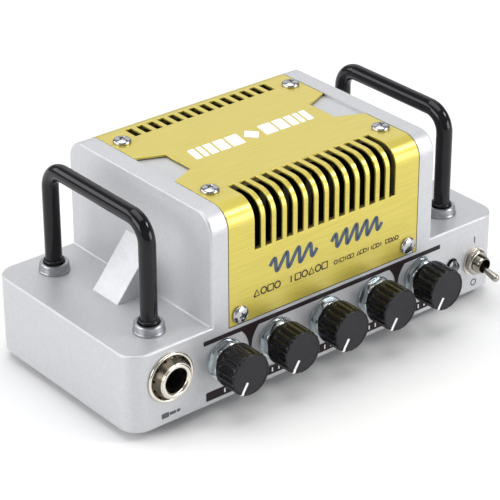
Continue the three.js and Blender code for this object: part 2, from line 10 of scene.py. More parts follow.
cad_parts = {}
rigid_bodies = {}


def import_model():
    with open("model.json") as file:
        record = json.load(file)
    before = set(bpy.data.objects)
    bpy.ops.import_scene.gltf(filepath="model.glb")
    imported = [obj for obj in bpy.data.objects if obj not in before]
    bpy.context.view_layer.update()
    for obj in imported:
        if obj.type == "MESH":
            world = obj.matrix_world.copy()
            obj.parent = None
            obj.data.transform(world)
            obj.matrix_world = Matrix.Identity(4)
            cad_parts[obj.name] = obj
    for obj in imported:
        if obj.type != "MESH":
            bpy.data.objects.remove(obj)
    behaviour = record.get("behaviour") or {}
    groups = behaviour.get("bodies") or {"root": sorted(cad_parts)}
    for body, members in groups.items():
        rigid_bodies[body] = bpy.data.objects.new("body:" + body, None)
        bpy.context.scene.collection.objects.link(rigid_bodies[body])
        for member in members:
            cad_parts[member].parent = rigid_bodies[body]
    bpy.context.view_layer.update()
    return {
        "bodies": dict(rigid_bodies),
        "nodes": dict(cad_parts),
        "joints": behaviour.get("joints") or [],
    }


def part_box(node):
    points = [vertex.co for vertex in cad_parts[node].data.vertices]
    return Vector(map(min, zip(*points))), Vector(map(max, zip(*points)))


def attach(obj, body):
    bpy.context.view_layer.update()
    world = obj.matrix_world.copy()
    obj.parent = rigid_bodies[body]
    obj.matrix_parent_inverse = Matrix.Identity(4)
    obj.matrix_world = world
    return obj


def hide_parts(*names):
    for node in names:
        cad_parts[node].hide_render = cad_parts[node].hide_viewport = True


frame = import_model()

# Shapes are drawn in millimetres and turned into metres when they become objects.
MM = 0.001

# ---- sizes ----

BASE_TOP = 25
BASE_CORNER = 5.5
BASE_EDGE = 0.6
BOTTOM_EDGE = 0.3
TUNNEL_HALF_WIDTH = 38.3
TUNNEL_BEND = 5.8
TUNNEL_EDGE = 0.7
WALL = 2.2
TUNNEL_WALL = 2.4
GUSSET_REACH = 11.4
GUSSET_RISE = 14
GUSSET_HALF_WIDTH = 5.5
GUSSET_EDGE = 0.3
COVE = 0.5

SHEET = 0.6
SHEET_PROUD = 0.05
SHEET_EDGE = 0.1
RECESS = 0.85
RECESS_GAP = 0.25
# Sink and clearance of the black bead that paints the shadow in the gap round the sheet.
SHADOW_BEAD_SINK = 0.12
SHADOW_BEAD_GAP = 0.01
CASE_GAP = 0.3
SLOT_COUNT = 14
SLOT_PITCH = 3.555
SLOT_WIDTH = 2.1
SLOT_TOP_END = 19.3
SLOT_LOW_END = 42.7
REAR_SLOT_END = 24.2
WAIST_X = 24.8
WAIST_HALF = 5.3
WAIST_MOUTH_HALF = 8.6
VENT_MARGIN = 0.7
VENT_HALF = ((SLOT_COUNT - 1) * SLOT_PITCH + SLOT_WIDTH) / 2 + VENT_MARGIN

HANDLE_BEND = 6
FLUTES = 18
FLUTE_DEPTH = 0.42
POINTER_WIDTH = 0.8
POINTER_START = 2.2
POINTER_ANGLE = 32
WASHER = 0.75
SPANNER_PITS = 12
INK = 0.05
FAR = 120


def span(node):
    """Lowest and highest corner of a CAD node, in millimetres."""
    low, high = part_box(node)
    return low / MM, high / MM


def middle(node):
    low, high = span(node)
    return (low + high) / 2


house_low, house_high = span("chassis_shell")
CENTRE_Y = (house_low.y + house_high.y) / 2
HALF_DEPTH = (house_high.y - house_low.y) / 2
HALF_WIDTH = (house_high.x - house_low.x) / 2
BASE_BOTTOM = house_low.z
TUNNEL_TOP = house_high.z
FRONT_Y = house_low.y
REAR_Y = house_high.y
cover_low, cover_high = span("vent_cover")
COVER_HALF = cover_high.x
COVER_BOTTOM = cover_low.z
COVER_TOP = cover_high.z

# ---- places: each has its own X to the right, Y up and Z out of the surface, as someone facing it sees ----

FACING_FRONT = Matrix(((1, 0, 0), (0, 0, -1), (0, 1, 0)))
FACING_REAR = Matrix(((-1, 0, 0), (0, 0, 1), (0, 1, 0)))
FACING_TOP = Matrix.Identity(3)
FACING_UNDER = Matrix(((1, 0, 0), (0, -1, 0), (0, 0, -1)))
HOUSING = Matrix.Translation((0, CENTRE_Y, 0))
ENDS = ("front", "rear")
SIDES = ("left", "right")


def place(facing, x, y, z):
    return Matrix.Translation((x, y, z)) @ facing.to_4x4()


def on_front(x, z, proud=0):
    return place(FACING_FRONT, x, FRONT_Y - proud, z)


def on_rear(x, z, proud=0):
    return place(FACING_REAR, x, REAR_Y + proud, z)


def spun(degrees):
    """A turn about a place's own Z."""
    return Matrix.Rotation(math.radians(degrees), 4, "Z")


# ---- outlines ----

def arc(cx, cy, radius, start, end, steps):
    turns = [math.radians(start + (end - start) * i / steps) for i in range(steps + 1)]
    return [(cx + radius * math.cos(t), cy + radius * math.sin(t)) for t in turns]


def softened(points, steps=3, closed=False):
    """A polyline whose corners with a third value are rounded, starting that far from the corner."""
    count = len(points)
    out = []
    for i, corner in enumerate(points):
        inside = closed or 0 < i < count - 1
        if len(corner) == 2 or not inside:
            out.append(tuple(corner[:2]))
            continue
        here = Vector(corner[:2])
        before = Vector(points[i - 1][:2]) - here
        after = Vector(points[(i + 1) % count][:2]) - here
        start = here + before.normalized() * min(corner[2], before.length / 2)
        end = here + after.normalized() * min(corner[2], after.length / 2)
        for k in range(steps + 1):
            t = k / steps
            out.append(tuple(start * (1 - t) ** 2 + here * (2 * t * (1 - t)) + end * t ** 2))
    return out


def rounded_rectangle(half_x, half_y, radius):
    x, y = half_x - radius, half_y - radius
    outline = []
    for i, (cx, cy) in enumerate(((x, y), (-x, y), (-x, -y), (x, -y))):
        outline += arc(cx, cy, radius, 90 * i, 90 * i + 90, 10)
    return outline


def edge_steps(low, high, low_radius, high_radius, steps=4):
    """(position, inset) pairs that round a block's two ends as it is lofted from low to high."""
    turns = [math.radians(90 * i / steps) for i in range(steps + 1)]
    start = [(low + low_radius * (1 - math.cos(t)), low_radius * (1 - math.sin(t))) for t in turns]
    end = [(high - high_radius * (1 - math.cos(t)), high_radius * (1 - math.sin(t))) for t in turns]
    return start + end[::-1]


def arch(half, bottom, top, bend, steps):
    """A line in the YZ plane, from a front foot over two bends to a rear foot."""
    front = arc(bend - half, top - bend, bend, 180, 90, steps)
    rear = arc(half - bend, top - bend, bend, 90, 0, steps)
    return [(-half, bottom), *front, *rear, (half, bottom)]


def tunnel_outline(inset, bottom):
    return arch(HALF_DEPTH - inset, bottom, TUNNEL_TOP - inset, TUNNEL_BEND - inset, 16)


# ---- forms ----

def skin(form, loops, closed=False):
    """Joins neighbouring loops of vertices with faces; a loop of one vertex is a pole."""
    following = loops[1:] + loops[:1] if closed else loops[1:]
    for below, above in zip(loops, following):
        count = max(len(below), len(above))
        if count == 1:
            continue
        for i in range(count):
            j = (i + 1) % count
            low = below[i % len(below)], below[j % len(below)]
            high = above[j % len(above)], above[i % len(above)]
            form.faces.new(dict.fromkeys(low + high))
    for end in () if closed else (loops[0][::-1], loops[-1]):
        if len(end) > 2:
            form.faces.new(end)
    bmesh.ops.recalc_face_normals(form, faces=form.faces)
    return form


def lofted(rings):
    form = bmesh.new()
    return skin(form, [[form.verts.new(p) for p in outline] for outline in rings])


def turned(profile, segments, closed=False):
    """A (radius, height) profile turned about Z."""
    form = bmesh.new()
    loops = []
    for radius, height in profile:
        if radius < 1e-6:
            loops.append([form.verts.new((0, 0, height))])
        else:
            circle = arc(0, 0, radius, 0, 360, segments)[:-1]
            loops.append([form.verts.new(p) for p in level(circle, height)])
    return skin(form, loops, closed)


def level(outline, z):
    return [(x, y, z) for x, y in outline]


def hoop(corners, segments, steps=3):
    """A closed profile of (radius, height) corners, rounded and turned about Z."""
    return turned(softened(corners, steps, closed=True), segments, closed=True)


def ring(inner, outer, low, high, edge, segments):
    """A flat ring with softened corners, except the lower inner one."""
    corners = [(inner, low), (outer, low, edge), (outer, high, edge), (inner, high, edge)]
    return hoop(corners, segments, 2)


def prism(outline, low, high):
    return lofted([level(outline, low), level(outline, high)])


def block(x, y, z):
    corners = [(x[0], y[0]), (x[1], y[0]), (x[1], y[1]), (x[0], y[1])]
    return prism(corners, *z)


def along_x(outline, half):
    """An outline drawn as (Y, Z), extruded to both sides of the middle."""
    return lofted([[(x, y, z) for y, z in outline] for x in (-half, half)])


def along_y(outline, half):
    """An outline drawn as (X, Z), extruded to both sides of the middle."""
    return lofted([[(x, y, z) for x, z in outline] for y in (-half, half)])


def bevelled(form, width, segments=2):
    edges = [e for e in form.edges if e.is_manifold and e.calc_face_angle(0) > math.radians(30)]
    bmesh.ops.bevel(form, geom=edges, offset=width, segments=segments, affect="EDGES", profile=0.5)
    return form


def across(line):
    """For each point of a flat line, the unit vector at right angles to it."""
    for behind, ahead in zip([line[0], *line[:-1]], [*line[1:], line[-1]]):
        yield (Vector(ahead) - Vector(behind)).normalized().orthogonal()


def ribbon(points, width):
    """A flat stroke of ink along a line in the XY plane."""
    rings = []
    for point, side in zip(points, across(points)):
        left = Vector(point) + side * width / 2
        right = Vector(point) - side * width / 2
        rings.append([(*left, 0), (*right, 0), (*right, INK), (*left, INK)])
    return lofted(rings)


def joined(forms):
    whole = bmesh.new()
    for form in forms:
        part = bpy.data.meshes.new("part")
        form.to_mesh(part)
        form.free()
        whole.from_mesh(part)
        bpy.data.meshes.remove(part)
    return whole


def second_finish(form, chosen):
    """Gives the second finish to the faces whose centre's radius and height are chosen."""
    for face in form.faces:
        centre = face.calc_center_median()
        if chosen(math.hypot(centre.x, centre.y), centre.z):
            face.material_index = 1
    return form


def moved(form, matrix):
    bmesh.ops.transform(form, matrix=matrix, verts=form.verts)
    return form


# ---- objects ----

SMOOTH_ANGLE = math.radians(32)


def to_object(form, name, where, finish):
    """A millimetre form as an object in metres, its shape already in place."""
    mesh = bpy.data.meshes.new(name)
    form.to_mesh(mesh)
    form.free()
    mesh.transform(Matrix.Scale(MM, 4) @ where)
    for look in finish if isinstance(finish, list) else [finish]:
        mesh.materials.append(look)
    obj = bpy.data.objects.new(name, mesh)
    bpy.context.scene.collection.objects.link(obj)
    return obj


def combined(obj, operation, tools):
    """Unites an object with tools, intersects it or cuts it, and removes the tools."""
    for tool in tools:
        step = obj.modifiers.new("combine", "BOOLEAN")
        step.operation = operation
        step.solver = "MANIFOLD"
        step.material_mode = "TRANSFER"
        step.object = tool
    graph = bpy.context.evaluated_depsgraph_get()
    result = bpy.data.meshes.new_from_object(obj.evaluated_get(graph))
    obj.modifiers.clear()
    obj.data = result
    for tool in tools:
        bpy.data.objects.remove(tool)


def dressed(obj, body, nodes=(), bevel=0):
    """Shading, an optional edge bevel, the body, and hiding the CAD nodes that the piece stands for."""
    obj.data.shade_smooth()
    obj.data.set_sharp_from_angle(angle=SMOOTH_ANGLE)
    if bevel:
        edge = obj.modifiers.new("edge", "BEVEL")
        edge.width = bevel * MM
        edge.segments = 2
        edge.limit_method = "ANGLE"
        edge.angle_limit = math.radians(45)
    obj.modifiers.new("normals", "WEIGHTED_NORMAL").keep_sharp = True
    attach(obj, body)
    if nodes:
        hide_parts(*nodes)


def piece(form, name, where, finish, nodes=(), body="housing", bevel=0):
    dressed(to_object(form, name, where, finish), body, nodes, bevel)


# ---- finishes ----

class Finish:
    """A procedural material; textures lie in the object's own millimetres."""

    def __init__(self, name, color, metallic, roughness, **constants):
        self.material = bpy.data.materials.new(name)
        self.material.use_nodes = True
        self.tree = self.material.node_tree
        self.shader = self.tree.nodes["Principled BSDF"]
        self.set("Base Color", (*color, 1))
        self.set("Metallic", metallic)
        self.set("Roughness", roughness)
        for socket, value in constants.items():
            self.set(socket.replace("_", " "), value)

    def set(self, socket, value):
        self.shader.inputs[socket].default_value = value

    def add(self, kind, links=(), **settings):
        node = self.tree.nodes.new(kind)
        for key, value in settings.items():
            if key in node.inputs:
                node.inputs[key].default_value = value
            else:
                setattr(node, key, value)
        for socket, source in dict(links).items():
            self.tree.links.new(source, node.inputs[socket])
        return node

    def noise(self, size, stretch=(1, 1, 1), detail=3.0):
        """Noise with features of about size millimetres, drawn out by 1 / stretch along each axis."""
        here = self.add("ShaderNodeTexCoord").outputs["Object"]
        scale = [s / (MM * size) for s in stretch]
        spot = self.add("ShaderNodeMapping", {"Vector": here}, Scale=scale)
        grain = self.add("ShaderNodeTexNoise", {"Vector": spot.outputs["Vector"]}, Scale=1.0, Detail=detail)
        return grain.outputs["Fac"]

    def ranged(self, signal, low, high, start=0.3, end=0.7):
        ends = {"From Min": start, "From Max": end, "To Min": low, "To Max": high}
        return self.add("ShaderNodeMapRange", {"Value": signal}, **ends).outputs["Result"]

    def tint(self, signal, first, second, start=0.3, end=0.7):
        """Base colour that goes from one colour to another as the signal goes from start to end."""
        mix = self.add("ShaderNodeMix", data_type="RGBA")
        self.tree.links.new(self.ranged(signal, 0, 1, start, end), mix.inputs["Factor"])
        ends = [socket for socket in mix.inputs if socket.type == "RGBA"]
        for socket, color in zip(ends, (first, second)):
            socket.default_value = (*color, 1)
        result = next(socket for socket in mix.outputs if socket.type == "RGBA")
        self.tree.links.new(result, self.shader.inputs["Base Color"])

    def rough(self, signal, low, high):
        self.tree.links.new(self.ranged(signal, low, high), self.shader.inputs["Roughness"])

    def bump(self, signal, depth):
        """Relief depth millimetres high, on top of any relief already there."""
        node = self.add("ShaderNodeBump", {"Height": signal}, Strength=1.0, Distance=depth * MM)
        socket = self.shader.inputs["Normal"]
        if socket.is_linked:
            self.tree.links.new(socket.links[0].from_socket, node.inputs["Normal"])
        self.tree.links.new(node.outputs["Normal"], socket)
        return self


def cast_silver():
    look = Finish("cast_silver", (0.57, 0.575, 0.59), 0.6, 0.45)
    look.tint(look.noise(0.7, detail=4), (0.553, 0.558, 0.578), (0.598, 0.603, 0.618))
    look.rough(look.noise(2.2), 0.43, 0.52)
    look.bump(look.noise(0.5, detail=2), 0.014)
    return look.bump(look.noise(0.14, detail=1), 0.007).material


# Warm near-black for the casting's inside, seen through the vent slots: painted shade, with an olive cast
# that is a painted reflection of the gold sheet.
def cast_inside_painted_shade():
    look = Finish("cast_inside_painted_shade", (0.08, 0.065, 0.022), 0.0, 0.8)
    look.tint(look.noise(3), (0.065, 0.052, 0.016), (0.10, 0.082, 0.03))
    return look.bump(look.noise(0.5), 0.03).material


def brushed_gold():
    look = Finish("brushed_gold", (0.70, 0.58, 0.13), 0.6, 0.4, Anisotropic=0.2, Anisotropic_Rotation=0.25,
                  Coat_Weight=0.5, Coat_Roughness=0.16)
    around = look.add("ShaderNodeTangent", direction_type="RADIAL", axis="X")
    look.tree.links.new(around.outputs["Tangent"], look.shader.inputs["Tangent"])
    fine = look.noise(0.16, (0.015, 1, 1), 2)
    broad = look.noise(1.3, (0.02, 1, 1), 3)
    look.tint(fine, (0.57, 0.47, 0.07), (0.70, 0.59, 0.12), 0.25, 0.75)
    look.rough(broad, 0.36, 0.42)
    look.bump(broad, 0.002)
    return look.bump(fine, 0.003).material


def shaded(color, factor):
    return [min(1, factor * c) for c in color]


def polished(name, color, roughness, dull):
    """Plated metal with faint handling marks."""
    look = Finish(name, color, 1.0, roughness)
    look.rough(look.noise(1.1, detail=4), roughness, dull)
    look.tint(look.noise(2.5), shaded(color, 0.92), color)
    return look.bump(look.noise(0.3), 0.002).material


def zinc_plate():
    look = Finish("zinc_plate", (0.52, 0.58, 0.62), 1.0, 0.2)
    look.tint(look.noise(2.4), (0.50, 0.56, 0.60), (0.62, 0.645, 0.64))
    look.rough(look.noise(0.8), 0.16, 0.24)
    return look.bump(look.noise(0.25), 0.001).material


def satin_steel():
    look = Finish("satin_steel", (0.5, 0.51, 0.52), 1.0, 0.35)
    look.tint(look.noise(0.2, (1, 0.03, 1)), (0.43, 0.44, 0.45), (0.56, 0.57, 0.58))
    look.rough(look.noise(1.5, (1, 0.1, 1)), 0.3, 0.45)
    return look.bump(look.noise(0.2, (1, 0.03, 1)), 0.003).material


def collar_metal():
    look = Finish("collar_metal", (0.44, 0.45, 0.47), 1.0, 0.3)
    look.tint(look.noise(0.12, (0.1, 0.1, 1)), (0.34, 0.35, 0.37), (0.42, 0.43, 0.45))
    look.rough(look.noise(0.9), 0.26, 0.36)
    return look.bump(look.noise(0.12, (0.1, 0.1, 1)), 0.001).material


def black_enamel():
    look = Finish("black_enamel", (0.005, 0.005, 0.006), 0.0, 0.2, Specular_IOR_Level=0.3)
    look.tint(look.noise(5), (0.004, 0.004, 0.005), (0.008, 0.008, 0.010))
    look.rough(look.noise(1.6), 0.07, 0.12)
    return look.bump(look.noise(1.2, detail=1), 0.002).material


def moulded(name, color, roughness, dull, grain):
    look = Finish(name, color, 0.0, roughness, Specular_IOR_Level=0.3)
    look.tint(look.noise(3), shaded(color, 0.8), shaded(color, 1.2))
    look.rough(look.noise(0.9), roughness, dull)
    return look.bump(look.noise(grain, detail=2), 0.008).material


def ink(name, color):
    look = Finish(name, color, 0.0, 0.45, Specular_IOR_Level=0.25)
    look.tint(look.noise(0.8), shaded(color, 0.86), shaded(color, 1.08))
    look.rough(look.noise(0.5), 0.4, 0.6)
    return look.bump(look.noise(0.12), 0.004).material


def clear_lens():
    look = Finish("clear_lens", (0.93, 0.96, 0.98), 0.0, 0.03, Transmission_Weight=1.0, IOR=1.5)
    look.rough(look.noise(0.8), 0.02, 0.06)
    return look.bump(look.noise(0.5), 0.003).material


def green_board():
    look = Finish("green_board", (0.03, 0.13, 0.06), 0.0, 0.4)
    traces = look.noise(1.2, (1, 0.15, 1), 1)
    look.tint(traces, (0.02, 0.09, 0.04), (0.05, 0.19, 0.09), 0.48, 0.52)
    return look.bump(look.ranged(traces, 0, 1, 0.48, 0.52), 0.03).material


def pale_floor():
    look = Finish("pale_floor", (0.86, 0.86, 0.86), 0.0, 0.6)
    look.tint(look.noise(60), (0.85, 0.85, 0.855), (0.87, 0.87, 0.87))
    return look.bump(look.noise(0.8), 0.01).material


CAST = cast_silver()
INSIDE_PAINTED_SHADE = cast_inside_painted_shade()
GOLD = brushed_gold()
SCREW = polished("screw_plate", (0.5, 0.5, 0.515), 0.16, 0.22)
NICKEL = polished("warm_nickel", (0.80, 0.75, 0.66), 0.1, 0.18)
ZINC = zinc_plate()
STEEL = satin_steel()
COLLAR = collar_metal()
ENAMEL = black_enamel()
KNOB_SIDE = moulded("knob_side", (0.005, 0.005, 0.007), 0.2, 0.3, 0.25)
KNOB_FACE = moulded("knob_face", (0.012, 0.012, 0.016), 0.42, 0.52, 0.16)
PLASTIC = moulded("black_moulding", (0.012, 0.012, 0.012), 0.35, 0.5, 0.3)
RUBBER = moulded("foot_rubber", (0.018, 0.018, 0.018), 0.75, 0.9, 0.4)
SINK = moulded("black_anodising", (0.035, 0.033, 0.028), 0.4, 0.55, 0.2)
WHITE_INK = ink("white_ink", (0.88, 0.88, 0.87))
DARK_INK = ink("maroon_ink", (0.014, 0.006, 0.008))
SLATE_INK = ink("slate_ink", (0.075, 0.105, 0.15))
BROWN_INK = ink("brown_ink", (0.06, 0.045, 0.02))
GREY_INK = ink("grey_ink", (0.10, 0.10, 0.11))
# A dark copy of the nickel: painted shade for hollows and keyways.
NICKEL_PAINTED_SHADE = polished("nickel_with_painted_shade", (0.10, 0.085, 0.065), 0.2, 0.35)
# A darker copy of the nickel for the switch: painted shade standing in for the dark reflections on its
# metal.
SWITCH_NICKEL_PAINTED_SHADE = polished("switch_nickel_painted_shade", (0.46, 0.43, 0.38), 0.14, 0.24)
LENS = clear_lens()
BOARD = green_board()


# ---- casting ----

def tunnel_block():
    steps = edge_steps(-TUNNEL_HALF_WIDTH, TUNNEL_HALF_WIDTH, TUNNEL_EDGE, TUNNEL_EDGE)
    return lofted([[(x, y, z) for y, z in tunnel_outline(inset, BASE_TOP - WALL)] for x, inset in steps])


def base_block():
    rings = []
    for z, inset in edge_steps(BASE_BOTTOM, BASE_TOP, BOTTOM_EDGE, BASE_EDGE):
        outline = rounded_rectangle(HALF_WIDTH - inset, HALF_DEPTH - inset, BASE_CORNER - inset)
        rings.append(level(outline, z))
    return lofted(rings)


def gusset(side):
    root = side * (TUNNEL_HALF_WIDTH - WALL / 2)
    wall = side * TUNNEL_HALF_WIDTH
    toe = wall + side * GUSSET_REACH
    low = BASE_TOP - WALL / 2
    high = BASE_TOP + GUSSET_RISE
    outline = [(root, low), (toe, low), (toe, BASE_TOP), (wall, high), (root, high)]
    return bevelled(along_y(outline, GUSSET_HALF_WIDTH), GUSSET_EDGE, 3)


def cove(side):
    """Small inside radius where the tunnel's side meets the base's top."""
    wall = TUNNEL_HALF_WIDTH
    curve = arc(wall + COVE, BASE_TOP + COVE, COVE, 180, 270, 4)
    low = BASE_TOP - COVE
    outline = [(wall - COVE, BASE_TOP + COVE), *curve, (wall + COVE, low), (wall - COVE, low)]
    return along_y([(side * x, z) for x, z in outline], HALF_DEPTH - BASE_EDGE)


def casting_hollows():
    floor = BASE_BOTTOM - WALL
    base = rounded_rectangle(HALF_WIDTH - WALL, HALF_DEPTH - WALL, BASE_CORNER - WALL)
    yield prism(base, floor, BASE_TOP - WALL)
    yield along_x(tunnel_outline(TUNNEL_WALL, floor), TUNNEL_HALF_WIDTH - WALL)
    high = (SLOT_LOW_END - VENT_MARGIN, FAR)
    start = SLOT_TOP_END - VENT_MARGIN
    yield block((-VENT_HALF, VENT_HALF), (-FAR, -start), high)
    yield block((-VENT_HALF, VENT_HALF), (start, REAR_SLOT_END + VENT_MARGIN), high)


def casting_recess():
    """The shallow seat of the vent cover, as the space between two tunnel outlines."""
    outer = tunnel_outline(-WALL, COVER_BOTTOM - RECESS_GAP)
    inner = tunnel_outline(RECESS, COVER_BOTTOM - RECESS_GAP)
    half = COVER_HALF + RECESS_GAP
    rings = []
    for a, b in zip(outer, inner):
        rings.append([(-half, *a), (half, *a), (half, *b), (-half, *b)])
    return lofted(rings)


def panel_bore(x, z, facing, radius):
    """A round hole tool through the front or rear panel, in the housing's own place."""
    y = HALF_DEPTH if facing is FACING_REAR else -HALF_DEPTH
    tool = turned([(0, -2 * WALL), (radius, -2 * WALL), (radius, WALL), (0, WALL)], 48)
    return moved(tool, place(facing, x, y, z))


def panel_bores():
    """Round holes in the front and rear panels, a little wider than what passes through them."""
    fronts = {f"pot_nut_{name}": 3.7 for name in KNOBS}
    fronts.update(input_jack_nut=4.9, power_led=1.9, toggle_nut=2.8)
    rears = {f"{name}_nut": 4.9 for name in REAR_JACKS}
    rears.update(aux_in_jack=3.3, phones_out_jack=3.3, dc_inlet=4.8)
    for facing, holes in ((FACING_FRONT, fronts), (FACING_REAR, rears)):
        for node, radius in holes.items():
            yield panel_bore(middle(node).x, barrel_height(node), facing, radius)


def barrel_height(node):
    """Height of a socket's barrel: small sockets have a body that reaches down to the board."""
    low, high = span(node)
    return high.z - (high.x - low.x) / 2 if node in SMALL_SOCKETS else (low.z + high.z) / 2


def casting():
    body = to_object(base_block(), "casting", HOUSING, [CAST, INSIDE_PAINTED_SHADE])
    adds = [tunnel_block(), gusset(-1), gusset(1), cove(-1), cove(1)]
    combined(body, "UNION", [to_object(form, "add", HOUSING, CAST) for form in adds])
    # The hollows' faces, the vent openings among them, take the inside finish of painted shade.
    tools = [to_object(form, "hollow", HOUSING, INSIDE_PAINTED_SHADE) for form in casting_hollows()]
    tools.append(to_object(casting_recess(), "recess", HOUSING, CAST))
    tools += [to_object(form, "bore", HOUSING, CAST) for form in panel_bores()]
    combined(body, "DIFFERENCE", tools)
    dressed(body, "housing", ["chassis_shell"])


# ---- vent cover ----

def slot_edges():
    edges = []
    for i in range(SLOT_COUNT):
        x = (i - (SLOT_COUNT - 1) / 2) * SLOT_PITCH
        edges += [x - SLOT_WIDTH / 2, x + SLOT_WIDTH / 2]
    return edges


def cover_stations():
    """Rows along the sheet's outer face, front to rear, as (y, z, out_y, out_z, kind)."""
    half = HALF_DEPTH + SHEET_PROUD
    top = COVER_TOP
    bend = TUNNEL_BEND + SHEET_PROUD
    spots = arc(half - bend, top - bend, bend, 0, 90, 16)
    curve = [(*spot, *out, "plain") for spot, out in zip(spots, arc(0, 0, 1, 0, 90, 16))]
    front = [(-y, z, -out_y, out_z, kind) for y, z, out_y, out_z, kind in curve]
    tops = [(-SLOT_TOP_END, "slot"), (-WAIST_HALF, "waist"), (WAIST_HALF, "waist"),
            (SLOT_TOP_END, "slot"), (REAR_SLOT_END, "slot")]
    return [
        (-half, COVER_BOTTOM, -1, 0, "plain"),
        (-half, SLOT_LOW_END, -1, 0, "slot"),
        *front,
        *[(y, top, 0, 1, kind) for y, kind in tops],
        *reversed(curve),
        (half, COVER_BOTTOM, 1, 0, "plain"),
    ]


def vent_cover():
    xs = [-COVER_HALF, -WAIST_X, *slot_edges(), WAIST_X, COVER_HALF]
    rows = cover_stations()
    form = bmesh.new()
    points = {}
    for i, x in enumerate(xs):
        for j, (y, z, out_y, out_z, kind) in enumerate(rows):
            if kind == "waist" and i in (0, len(xs) - 1):
                y = math.copysign(WAIST_MOUTH_HALF, y)
            points[i, j, 0] = form.verts.new((x, y, z))
            points[i, j, 1] = form.verts.new((x, y - SHEET * out_y, z - SHEET * out_z))

    slot_rows = [j for j, row in enumerate(rows) if row[4] == "slot"]
    waist_rows = [j for j, row in enumerate(rows) if row[4] == "waist"]

    def solid(i, j):
        if not (0 <= i < len(xs) - 1 and 0 <= j < len(rows) - 1):
            return False
        in_slot = 2 <= i < len(xs) - 2 and i % 2 == 0
        in_front = slot_rows[0] <= j < slot_rows[1]
        in_rear = slot_rows[2] <= j < slot_rows[3]
        in_waist = i in (0, len(xs) - 2) and waist_rows[0] <= j < waist_rows[1]
        return not (in_slot and (in_front or in_rear)) and not in_waist

    for i in range(len(xs) - 1):
        for j in range(len(rows) - 1):
            if not solid(i, j):
                continue
            corners = [(i, j), (i + 1, j), (i + 1, j + 1), (i, j + 1)]
            neighbours = [(i, j - 1), (i + 1, j), (i, j + 1), (i - 1, j)]
            form.faces.new([points[c, r, 0] for c, r in corners])
            form.faces.new([points[c, r, 1] for c, r in reversed(corners)])
            for k, neighbour in enumerate(neighbours):
                if not solid(*neighbour):
                    a, b = corners[k], corners[(k + 1) % 4]
                    form.faces.new([points[(*a, 0)], points[(*a, 1)], points[(*b, 1)], points[(*b, 0)]])
    loose = [v for v in form.verts if not v.link_faces]
    bmesh.ops.delete(form, geom=loose, context="VERTS")
    bmesh.ops.recalc_face_normals(form, faces=form.faces)
    piece(form, "vent_cover_sheet", HOUSING, GOLD, ["vent_cover"], bevel=SHEET_EDGE)


def gap_shadow_bead():
    """A black bead in the gap round the sheet, a painted shadow of that gap, left out across the open ends
    of the waist.
    """
    insets = (SHADOW_BEAD_SINK, RECESS - 2 * SHADOW_BEAD_GAP)
    bottom = COVER_BOTTOM - RECESS_GAP + SHADOW_BEAD_GAP
    lines = []
    for inset in insets:
        outline = tunnel_outline(inset, bottom)
        lines.append([*outline[:len(outline) // 2], (-WAIST_MOUTH_HALF, TUNNEL_TOP - inset)])
    beads = []
    for end in (-1, 1):
        for side in (-1, 1):
            near = side * (COVER_HALF + SHADOW_BEAD_GAP)
            far = side * (COVER_HALF + RECESS_GAP - SHADOW_BEAD_GAP)
            rings = []
            for a, b in zip(*lines):
                corners = ((near, *a), (far, *a), (far, *b), (near, *b))
                rings.append([(x, -end * y, z) for x, y, z in corners])
            beads.append(lofted(rings))
        depth = sorted(end * (HALF_DEPTH - inset) for inset in insets)
        beads.append(block((-COVER_HALF, COVER_HALF), depth, (bottom, COVER_BOTTOM - SHADOW_BEAD_GAP)))
    piece(joined(beads), "gap_shadow_bead", HOUSING, RUBBER)


# ---- fasteners ----

def cross(size, width, height):
    """Twelve corners of a plus sign at one height."""
    a, b = size / 2, width / 2
    arm = [(a, -b), (a, b), (b, b)]
    outline = []
    for _ in range(4):
        outline += arm
        arm = [(-y, x) for x, y in arm]
    return level(outline, height)


def recessed_head(form, recess, name, where, nodes=()):
    head = to_object(form, name, where, SCREW)
    combined(head, "DIFFERENCE", [to_object(lofted(recess), "recess", where, SCREW)])
    dressed(head, "housing", nodes)


def pan_head(label, where):
    """Domed head with a cross recess, and its shank."""
    radius = 2.5
    height = 1.3
    shank = radius / 2
    shoulder = [(radius, height * 0.6, height * 0.45), (radius * 0.5, height, 0.9)]
    dome = softened([(radius, 0), *shoulder, (0, height)], 7)
    profile = [(0, -5), (shank, -5), (shank, 0), (radius - 0.1, 0), (radius, 0.1), *dome[1:]]
    top = radius * 0.92
    recess = [cross(top * 0.5, 0.34, height - 0.75), cross(top, 0.56, height + 0.2)]
    recessed_head(turned(profile, 40), recess, f"screw_{label}", where, [f"cover_screw_{label}"])


def cover_screws():
    for end, on_end in (("front", on_front), ("rear", on_rear)):
        for side, degrees in (("left", 20), ("right", 65)):
            spot = middle(f"cover_screw_{end}_{side}")
            pan_head(f"{end}_{side}", on_end(spot.x, spot.z, SHEET_PROUD) @ spun(degrees))
            spot = middle(f"cover_screw_top_{end}_{side}")
            pan_head(f"top_{end}_{side}", place(FACING_TOP, spot.x, spot.y, COVER_TOP) @ spun(degrees))


def hex_nut(width, low, high, inner):
    """Hexagon nut in millimetres, with rounded and chamfered corners and a plain bore."""
    outline = arc(0, 0, width / math.sqrt(3), 0, 360, 6)[:-1]
    nut = to_object(prism(outline, low, high), "nut", Matrix.Identity(4), ZINC)
    flat = width / 2
    round_off = flat * 1.075
    cone = [(inner, low - 1), (round_off, low - 1), (round_off, high - 0.7), (round_off - 0.12, high - 0.45),
            (flat - 0.15, high - 0.1), (flat - 0.45, high), (inner, high)]
    tool = to_object(turned(cone, 72, closed=True), "cone", Matrix.Identity(4), ZINC)
    combined(nut, "INTERSECT", [tool])
    form = bmesh.new()
    form.from_mesh(nut.data)
    bpy.data.objects.remove(nut)
    bmesh.ops.scale(form, vec=(1 / MM,) * 3, verts=form.verts)
    return form


# ---- handles ----

